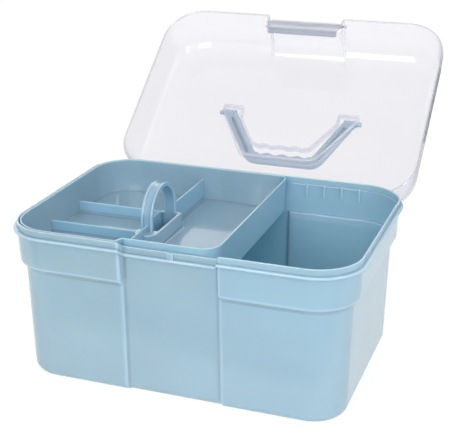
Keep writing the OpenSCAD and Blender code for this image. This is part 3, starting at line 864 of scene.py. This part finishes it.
def make_box(context):
    """The box: one lofted skin, with ribs, nub and hinge barrels moulded on."""
    s = sizes(context)
    finish = moulded_plastic("box_plastic", s.box_blue, s.box_rough)
    shell = box_shell(s)
    cut(shell, flange_gaps(s))
    joined(shell, [rim_ribs(s, finish), catch_nub(s), *box_barrels(s, finish)])
    cut(shell, [hinge_bore(s)])
    fitted(smoothed(shell, finish), "box", "box_plastic", "box_body")


def arm_line(s):
    """The middle line of the handle's right arm in plan, from its pivot to its bend."""
    return np.array([s.handle_span / 2, -s.pivot_front]), np.array([s.grip_span / 2, s.grip_y])


def bow(s, extra, squared, wave):
    """Plan of the folded handle grown by extra: two arms and a grip with finger waves.
    Squared gives the pocket's outline, which has room round the hubs."""
    h = s.handle_half + extra
    tip, bend = arm_line(s)
    along = (bend - tip) / np.linalg.norm(bend - tip)
    across = np.array([along[1], -along[0]])
    mitre = h * (across + along * (1 - across[1]) / along[1])
    outer, inner = bend + mitre, bend - mitre
    base = tip - h * across
    if squared:
        x_in, x_out, front = tip[0] - h - s.lift_room, tip[0] + h, tip[1] - h
        meet = base + along * (x_in - base[0]) / along[0]
        right = [((x_in, front), ROUND.pocket_corner), ((x_out, front), ROUND.pocket_corner),
                 ((x_out, tip[1]), ROUND.pocket_side)]
        back = [((x_in, meet[1]), ROUND.pocket_side)]
    else:
        x_in = base[0] + along[0] * (tip[1] - base[1]) / along[1]
        x_out, rise = s.hub_out + extra, tip + h * across
        meet = rise[1] + (x_out - rise[0]) * along[1] / along[0]
        hub_top = max(meet, tip[1] + ROUND.hub_tip / 2)
        right = [((x_in, tip[1]), 0), ((x_out, tip[1]), 0), ((x_out, hub_top), ROUND.hub_tip)]
        back = []
    right.append((outer, ROUND.bend_out))
    back.append((inner, ROUND.bend_in))
    end = inner[0] - ROUND.bend_in / 2
    grip = np.linspace(-end, end, WAVE_POINTS)
    swell = np.clip((end - np.abs(grip)) / WAVE_FADE, 0, 1)
    hollow = 0.5 + 0.5 * np.cos(2 * math.pi * (grip / s.finger_pitch - 0.5))
    waves = [((x, inner[1] + wave * k), 0) for x, k in zip(grip, hollow * swell)]
    left, left_back = ([((-p[0], p[1]), soft) for p, soft in half] for half in (right[::-1], back))
    rows = right + left + left_back + waves + back[::-1]
    return soften([p for p, _ in rows], [soft for _, soft in rows], 6, 2, closed=True)


def lid_shell(s):
    """The lid's domed shell, from its middle inside round the seam to its middle outside."""
    def side(grow):
        r, top, steps = s.dome_radius + grow, s.z_top + grow, 16
        band = [(z, s.out_lid + grow, s.recess_depth, -s.out_lid - grow, 0) for z in (s.z_seam, s.z_band)]
        dome = [(top - r * k, s.out_dome + grow - r * c, s.recess_depth * (1 - i / steps),
                 -s.out_lid - grow, 0) for i, (c, k) in enumerate(quarter(steps))]
        return band + dome

    rows = side(-s.lid_wall)[::-1] + side(0)
    seam, setbacks = len(rows) // 2, [0] * len(rows)
    setbacks[seam - 2:seam + 2] = ROUND.lid_band, ROUND.lid_seam, ROUND.lid_seam, ROUND.lid_band
    return lofted("lid_shell", [plan(s, *row) for row in soften(rows, setbacks, 3, 2)])


def pocket_forms(s):
    """The handle's pocket: the body that hangs under the lid's top, and the well that is cut into it."""
    under, floor, mouth = ROUND.pocket_under, ROUND.pocket_floor, ROUND.pocket_mouth
    course, low = quarter(4), s.z_pocket - s.lid_wall
    body = [(low + under * c, -under * k) for c, k in course] + [(s.z_top - s.lid_wall / 2, 0)]
    well = [(s.z_pocket + floor * c, -floor * k) for c, k in course]
    well += [(s.z_top - mouth * k, mouth * c) for c, k in course] + [(s.z_top + OVERLAP, mouth)]
    wave = s.finger_depth * POCKET_WAVE
    return [lofted(name, [at_height(bow(s, s.pocket_clear + wall + grow, True, wave), z) for z, grow in rows])
            for name, wall, rows in (("pocket", s.lid_wall, body), ("well", 0, well))]


def lid_barrels(s, finish):
    """The lid's two hinge barrels, with the arms that carry them."""
    root = s.half_depth + s.out_lid - s.lid_wall * ROOT_SHARE
    arm_gap = 1.0
    top, low = s.z_flange + s.arm_rise, s.z_seam + arm_gap
    middle = s.mid_knuckle / 2 + s.moving_clear + s.lid_knuckle / 2
    upright = (metres(0, 0, (top - s.z_hinge) / 2), metres(s.lid_knuckle, s.arm_half * 2, top - s.z_hinge))
    bridge = (metres(0, (root - s.y_hinge) / 2, (top + low) / 2 - s.z_hinge),
              metres(s.lid_knuckle, s.y_hinge - root, top - low))
    return knuckle_row("lid_barrels", finish, 2, metres(-middle, s.y_hinge, s.z_hinge),
                       metres(middle * 2, 0, 0), metres(s.lid_knuckle, s.hinge_radius), [upright, bridge])


def latch_bosses(s):
    """The bosses in the lid that hold the ends of the latch's pin."""
    boss_end = 1.0
    start, end = s.latch_pin_end - s.lid_wall - s.recess_ramp / 2, s.latch_pin_end + boss_end
    return [rod("boss", *sorted((side * start, side * end)), -s.y_latch, s.z_latch, s.latch_pin_radius * 2)
            for side in (-1, 1)]


def latch_notch(s):
    """The cut in the lid's front that the latch turns in."""
    past, below = 2, 4
    return block("notch", (-s.notch_half, -s.panel_lid_y - past, s.z_seam - below),
                 (s.notch_half, -s.panel_lid_y + s.lid_wall + past, s.notch_top), ROUND.notch)


def make_lid(context):
    """The clear lid: a domed shell with the handle's pocket, the latch's notch and hinge barrels."""
    s = sizes(context)
    finish = clear_plastic("lid_plastic", s.lid_clear_tint, s.lid_haze, s.lid_milk, s.lid_sheen, s.lid_rough,
                           "rise")
    shell = lid_shell(s)
    body, well = pocket_forms(s)
    joined(shell, [body, lid_barrels(s, finish), *latch_bosses(s)])
    hub_end = s.hub_out + s.stub_length
    cut(shell, [
        well, latch_notch(s), hinge_bore(s),
        rod("bore", -s.latch_pin_end, s.latch_pin_end, -s.y_latch, s.z_latch, s.pin_bore, 0),
        rod("bore", -hub_end, hub_end, -s.pivot_front, s.z_pivot, s.stub_radius + STUB_CLEAR, 0)])
    smoothed(shell, finish, 30)
    rise = shell.data.attributes.new("rise", "FLOAT", "POINT")
    rise.data.foreach_set("value", points_of(shell)[:, 2] - s.z_seam)
    place(shell, opened(s))
    fitted(shell, "lid", "lid_plastic", "lid")


def make_handle(context):
    """The carry handle: flat arms, a grip with finger hollows, hubs and stub pins."""
    s = sizes(context)
    finish = moulded_plastic("handle_plastic", s.handle_blue, s.handle_rough)
    low, high, r = s.z_pivot - s.handle_thick / 2, s.z_pivot + s.handle_thick / 2, s.handle_round
    curve = [(r * c, -r * k) for c, k in quarter(5)]
    rows = [(low + up, grow) for up, grow in curve] + [(high - up, grow) for up, grow in curve[::-1]]
    grip = lofted("handle_bow", [at_height(bow(s, grow, False, s.finger_depth), z) for z, grow in rows])
    hubs = []
    for side in (-1, 1):
        for start, end, radius in ((s.hub_out - s.handle_width, s.hub_out, s.handle_thick / 2),
                                   (s.hub_out - OVERLAP, s.hub_out + s.stub_length, s.stub_radius)):
            x0, x1 = sorted((side * start, side * end))
            hubs.append(rod("hub", x0, x1, -s.pivot_front, s.z_pivot, radius, ROUND.hub))
    joined(grip, hubs)
    tip, bend = arm_line(s)
    ends = [tip + (bend - tip) * t for t in GROOVE_SPAN]
    cut(grip, [wall_along("groove", [(side * x, y) for x, y in ends], low - ROUND.groove * 2,
                          low + s.groove_depth, s.groove_width, ROUND.groove) for side in (-1, 1)])
    hang = turner(-s.pivot_front, s.z_pivot, s.handle_hang)
    place(grip, lambda points: opened(s)(hang(points)))
    fitted(smoothed(grip, finish, 35), "handle", "handle_plastic", "carry_handle")


def latch_plate(s):
    """The latch's plate, with a thumb scoop along its free edge that fades out to both sides."""
    half, front = s.latch_width / 2, -s.y_latch - s.latch_radius
    low, top = s.z_latch - s.latch_length, s.z_latch + s.latch_radius / 2
    end_inset, end_pull = 0.8, 0.5
    scoop_top, scoop_deep, scoop_low = 12, 5, 2.2
    roundings = (0.8, 0.5, 0.4, 0.8, 2, 2.5, 0.8)
    rings = []
    for x in np.concatenate([[-half], np.linspace(-half + end_inset, half - end_inset, 45), [half]]):
        dip = s.scoop_depth * max(0.0, 1 - (2 * x / s.scoop_width) ** 2) ** 0.7
        pull = end_pull if abs(x) == half else 0.0
        face, back = front + pull, front + s.latch_thick - pull
        rows = [(face, low + pull), (back, low + pull), (back, top), (face, top), (face, low + scoop_top),
                (face + dip, low + scoop_deep), (face + dip * 0.8, low + scoop_low)]
        outline = soften(rows, roundings, 3, 2, closed=True)
        rings.append(np.column_stack([np.full(len(outline), x), outline]))
    return lofted("latch_plate", rings)


def make_latch(context):
    """The front latch: a barrel, a plate with a thumb scoop, and the hook."""
    s = sizes(context)
    finish = clear_plastic("latch_plastic", s.latch_smoke, s.latch_haze, s.latch_milk, s.latch_sheen,
                           s.latch_rough)
    half, front = s.latch_width / 2, -s.y_latch - s.latch_radius
    plate = latch_plate(s)
    barrel = rod("barrel", -half, half, -s.y_latch, s.z_latch, s.latch_radius, ROUND.barrel)
    hook = block("hook", (-s.hook_width / 2, front + s.latch_thick / 2, s.hook_top - s.hook_height),
                 (s.hook_width / 2, -s.y_latch + s.hook_reach, s.hook_top), ROUND.hook)
    joined(plate, [barrel, hook])
    cut(plate, [rod("bore", -half - OVERLAP, half + OVERLAP, -s.y_latch, s.z_latch, s.pin_bore, 0)])
    swing = turner(-s.y_latch, s.z_latch, s.latch_hang)
    place(plate, lambda points: opened(s)(swing(points)))
    fitted(smoothed(plate, finish, 35), "latch", "latch_plastic", "front_latch")


def wall_along(name, ends, low, high, thick, fillet):
    """A wall between two points in plan: a rounded top and a filleted foot."""
    (x0, y0), (x1, y1) = ends
    along = np.array([x1 - x0, y1 - y0], float)
    side = np.array([-along[1], along[0]]) / np.linalg.norm(along)
    half = thick / 2
    foot = [(half + fillet * k, low + fillet * c) for c, k in quarter(4)]
    crown = [(half * (1 - c), high - half * k) for c, k in quarter(4)]
    right = [(half + fillet, low - OVERLAP)] + foot + crown
    section = right + [(-u, z) for u, z in right[-2::-1]]
    return lofted(name, [np.array([(x + side[0] * u, y + side[1] * u, z) for u, z in section])
                         for x, y in ends])


def well_plan(s, inset):
    """Outline of the well across the long divider: a rounded nose in front and a square end behind."""
    half, x, nose = s.well_width / 2 - inset, -s.divider_left, s.well_nose - inset
    back, front = s.loop_radius - s.loop_front - inset, -s.loop_radius - s.loop_front
    turns = np.linspace(0, math.pi, 25)
    rows = [(x - half * math.cos(t), front - nose * math.sin(t)) for t in turns]
    rows += [(x + half, back), (x - half, back)]
    return soften(rows, [0] * len(turns) + [ROUND.well_end] * 2, 4, 2, closed=True)


def tray_shell(s):
    """The tray's leaning shell, from its underside over the rim to its floor."""
    def side(grow, low):
        rows = [(low + s.tray_edge * c, grow - s.tray_lean - s.tray_edge * k) for c, k in quarter(6)]
        return rows + [(s.z_tray_top, grow)]

    rows = side(0, s.z_tray) + side(-s.tray_wall, s.z_tray + s.tray_wall)[::-1]
    rim, setbacks = len(rows) // 2, [0] * len(rows)
    setbacks[rim - 1:rim + 1] = ROUND.tray_rim, ROUND.tray_rim
    rings = [tray_plan(s, z, grow) for z, grow in soften(rows, setbacks, 4, 2)]
    return lofted("tray_shell", rings)


def tray_dividers(s, floor):
    """The long divider, the two short ones, and the well's solid body."""
    reach_y = s.half_depth + s.out_tray - s.tray_wall * LONG_REST
    reach_x = s.lip_width / 2 + s.out_tray - s.tray_wall * SHORT_REST
    x = -s.divider_left
    walls = [([(x, -reach_y), (x, reach_y)], s.z_divider)]
    walls += [([(-reach_x, y), (x, y)], s.z_tray + s.short_height) for y in (-s.short_offset, s.short_offset)]
    pieces = [wall_along("divider", ends, floor, top, s.tray_wall, ROUND.divider) for ends, top in walls]
    levels = [(floor - OVERLAP, -ROUND.well)]
    levels += [(floor + ROUND.well * c, -ROUND.well * k) for c, k in quarter(4)]
    levels += [(s.z_well - ROUND.well_rim * k, ROUND.well_rim * c) for c, k in quarter(4)]
    return pieces + [lofted("well", [at_height(well_plan(s, inset), z) for z, inset in levels])]


def well_cuts(s):
    """The hollow under the well, and the hole through the divider that the fingers reach into."""
    past, half = 4, s.well_width / 2 - s.tray_wall
    ceiling, reach = s.z_well - s.tray_wall, s.loop_radius - s.loop_thick
    inside = well_plan(s, s.tray_wall)
    hollow = lofted("hollow", [at_height(inside, z) for z in (s.z_tray - OVERLAP, ceiling)])
    hole = block("hole", (-s.divider_left - half, -s.loop_front - reach, ceiling - past),
                 (-s.divider_left + half, -s.loop_front + reach, s.z_divider + past), ROUND.hole)
    return [hollow, hole]


def loop_band(s):
    """The finger loop: a band with raised edges that follows two legs and an arch."""
    half, thick = s.loop_width / 2, s.loop_thick
    ridge, slope, dent = 2.4, 3.2, 1.2
    groove = [(-half, -thick), (half, -thick), (half, 0), (half - ridge, 0), (half - slope, -dent),
              (slope - half, -dent), (ridge - half, 0), (-half, 0)]
    section = soften(groove, (1.2, 1.2, 0.8, 0.6, 0.8, 0.8, 0.6, 0.8), 3, 2, closed=True)
    leg_top = s.z_divider + s.loop_rise - s.loop_radius
    leg = np.linspace(s.z_well - s.tray_wall * LOOP_ROOT, leg_top, 4)[:-1]
    path = [(z, 0.0) for z in leg] + [(leg_top, t) for t in np.linspace(0, math.pi, 33)]
    path += [(z, math.pi) for z in leg[::-1]]
    return lofted("loop", [np.array([
        (u - s.divider_left, -s.loop_front + (s.loop_radius + v) * math.cos(t),
         z + (s.loop_radius + v) * math.sin(t)) for u, v in section]) for z, t in path])


def make_tray(context):
    """The insert tray: a leaning shell with dividers, the well and the finger loop."""
    s = sizes(context)
    finish = moulded_plastic("tray_plastic", s.tray_blue, s.tray_rough)
    shell = tray_shell(s)
    joined(shell, tray_dividers(s, s.z_tray + s.tray_wall))
    cut(shell, well_cuts(s))
    joined(shell, [loop_band(s)])
    fitted(smoothed(shell, finish), "tray", "tray_plastic", "insert_tray")


def dress_pins(context):
    """The two wire pins keep their CAD shape and get a drawn steel finish."""
    finish = drawn_wire("pin_steel", sizes(context).pin_steel)
    for node in ("hinge_pin", "latch_pin"):
        slots = frame["nodes"][node].material_slots
        if not slots:
            raise RuntimeError(f"{node} has no material slot")
        for slot in slots:
            slot.material = finish


CAMERA = {"azimuth": 19.744, "elevation": 20.42, "distance": 1333.37,
          "target": (-33.513, 147.585, 110.0), "lens": 83.6}
# Each lamp's name, place, aim and size in millimetres, power in watts, and whether reflections show it.
LAMPS = (
    ("key", (50, -2100, 1150), (0, 0, 120), (1800, 1300), 29.5, True),
    ("fill", (1900, -700, 1150), (0, 0, 120), (500, 1200), 13.0, True),
    ("top", (-100, 250, 2100), (0, 0, 100), (1200, 900), 2.0, False),
    ("back", (-700, 2300, 1500), (0, 0, 120), (1600, 1200), 13.0, False),
)
WHITE = (1, 1, 1, 1)


def stage_sheet(name, corners, material):
    """A flat sheet of the studio, which isn't part of the box."""
    piece = solid(name, corners, [(0, 1, 2, 3)])
    piece.data.materials.append(material)
    return piece


def floor_white():
    """White paper that takes the shadow. Reflections show it white near the box and dim in front."""
    finish = Finish("floor_white")
    across, along = (finish.add("ShaderNodeSeparateXYZ", out=axis, Vector=finish.where()) for axis in "XY")
    beyond = ((across * 0.15 - along - 0.208) * 30.0 + 0.5).clamped()
    tone = finish.ramp(beyond * finish.rays("Glossy"), (0.0, WHITE), (1.0, (0.2, 0.22, 0.24, 1)))
    paper = finish.add("ShaderNodeBsdfDiffuse", Color=(0.9, 0.9, 0.9, 1))
    glow = finish.add("ShaderNodeEmission", Color=tone, Strength=1.05)
    return finish.done(finish.mixed(finish.seen_rays() * 0.88, paper, glow))


def hung_card(name, low, high, rgb, strength):
    """A card behind the box that only reflections show."""
    finish = Finish(f"{name}_glow")
    glow = finish.done(finish.add("ShaderNodeEmission", Color=opaque(rgb), Strength=strength))
    half, y = 4000, 900
    card = stage_sheet(name, [(-half, y, low), (half, y, low), (half, y, high), (-half, y, high)], glow)
    for ray in ("camera", "diffuse", "transmission", "volume_scatter", "shadow"):
        setattr(card, f"visible_{ray}", False)


def make_surroundings(scene, ambient):
    """A world that is seen white and gives soft light from all around."""
    scene.world = bpy.data.worlds.new("studio")
    scene.world.use_nodes = True
    scene.world.node_tree.nodes.clear()
    nodes = Nodes(scene.world.node_tree)
    light, white = (nodes.add("ShaderNodeBackground", Color=WHITE, Strength=strength)
                    for strength in (ambient, 1.0))
    nodes.add("ShaderNodeOutputWorld", Surface=nodes.mixed(nodes.seen_rays(), light, white))


def make_lamps(scene):
    for name, spot, aim, size, power, glossy in LAMPS:
        lamp = bpy.data.lights.new(name, "AREA")
        lamp.shape = "RECTANGLE"
        lamp.size, lamp.size_y = metres(*size)
        lamp.energy = power
        piece = bpy.data.objects.new(name, lamp)
        scene.collection.objects.link(piece)
        piece.location = Vector(spot) * MM
        piece.rotation_euler = (Vector(aim) - Vector(spot)).to_track_quat("-Z", "Y").to_euler()
        piece.visible_glossy = glossy


def make_camera(scene):
    a, e = math.radians(CAMERA["azimuth"]), math.radians(CAMERA["elevation"])
    back = Vector((math.sin(a) * math.cos(e), -math.cos(a) * math.cos(e), math.sin(e)))
    camera = bpy.data.cameras.new("camera")
    camera.lens = CAMERA["lens"]
    camera.sensor_width = 36.0
    camera.clip_start, camera.clip_end = 0.05, 100.0
    eye = bpy.data.objects.new("camera", camera)
    scene.collection.objects.link(eye)
    eye.location = (Vector(CAMERA["target"]) + back * CAMERA["distance"]) * MM
    eye.rotation_euler = (-back).to_track_quat("-Z", "Y").to_euler()
    scene.camera = eye


def make_stage(context):
    """White floor and surroundings, soft lamps and the camera."""
    s = sizes(context)
    scene = context.scene
    scene.view_settings.view_transform = "Standard"
    far = 9000
    stage_sheet("floor", [(-far, -far, 0), (far, -far, 0), (far, far, 0), (-far, far, 0)], floor_white())
    hung_card("card", 0, s.card_height, (0.62, 0.78, 0.9), 0.3)
    hung_card("panel", s.card_height, s.card_height + s.panel_height, (1, 1, 1), 2.2)
    make_surroundings(scene, s.ambient)
    make_lamps(scene)
    make_camera(scene)


class StepOperator:
    """What the operators share: each runs its own step and fails loudly."""
    bl_options = {"REGISTER"}

    def execute(self, context):
        type(self).step(context)
        return {"FINISHED"}


class GROOM_OT_stage(StepOperator, bpy.types.Operator):
    """Make the floor, the surroundings, the lamps and the camera"""
    bl_idname = "groom.stage"
    bl_label = "Studio"
    step = staticmethod(make_stage)


class GROOM_OT_box(StepOperator, bpy.types.Operator):
    """Make the moulded box"""
    bl_idname = "groom.box"
    bl_label = "Box"
    step = staticmethod(make_box)


class GROOM_OT_tray(StepOperator, bpy.types.Operator):
    """Make the insert tray"""
    bl_idname = "groom.tray"
    bl_label = "Insert Tray"
    step = staticmethod(make_tray)


class GROOM_OT_lid(StepOperator, bpy.types.Operator):
    """Make the clear lid"""
    bl_idname = "groom.lid"
    bl_label = "Clear Lid"
    step = staticmethod(make_lid)


class GROOM_OT_handle(StepOperator, bpy.types.Operator):
    """Make the carry handle"""
    bl_idname = "groom.handle"
    bl_label = "Carry Handle"
    step = staticmethod(make_handle)


class GROOM_OT_latch(StepOperator, bpy.types.Operator):
    """Make the front latch"""
    bl_idname = "groom.latch"
    bl_label = "Front Latch"
    step = staticmethod(make_latch)


class GROOM_OT_pins(StepOperator, bpy.types.Operator):
    """Finish the hinge pin and the latch pin"""
    bl_idname = "groom.pins"
    bl_label = "Wire Pins"
    step = staticmethod(dress_pins)


OPERATORS = (GROOM_OT_stage, GROOM_OT_box, GROOM_OT_tray, GROOM_OT_lid, GROOM_OT_handle, GROOM_OT_latch,
             GROOM_OT_pins)


class GROOM_PT_panel(bpy.types.Panel):
    """Lists the steps and the sizes of the grooming box"""
    bl_idname = "GROOM_PT_panel"
    bl_label = "Grooming Box"
    bl_space_type = "VIEW_3D"
    bl_region_type = "UI"
    bl_category = "Grooming Box"

    def draw(self, context):
        for operator in OPERATORS:
            self.layout.operator(operator.bl_idname)
        for attribute in GROUPS:
            group = getattr(context.scene, attribute)
            part = self.layout.box()
            for prop in group.bl_rna.properties:
                if prop.identifier not in ("rna_type", "name"):
                    part.prop(group, prop.identifier)


CLASSES = (*GROUPS.values(), *OPERATORS, GROOM_PT_panel)


def register():
    for kind in CLASSES:
        bpy.utils.register_class(kind)
    for attribute, group in GROUPS.items():
        setattr(bpy.types.Scene, attribute, PointerProperty(type=group))


def unregister():
    for attribute in GROUPS:
        delattr(bpy.types.Scene, attribute)
    for kind in reversed(CLASSES):
        bpy.utils.unregister_class(kind)


def main():
    register()
    bpy.ops.groom.stage()
    bpy.ops.groom.box()
    bpy.ops.groom.tray()
    bpy.ops.groom.lid()
    bpy.ops.groom.handle()
    bpy.ops.groom.latch()
    bpy.ops.groom.pins()


if __name__ == "__main__":
    main()
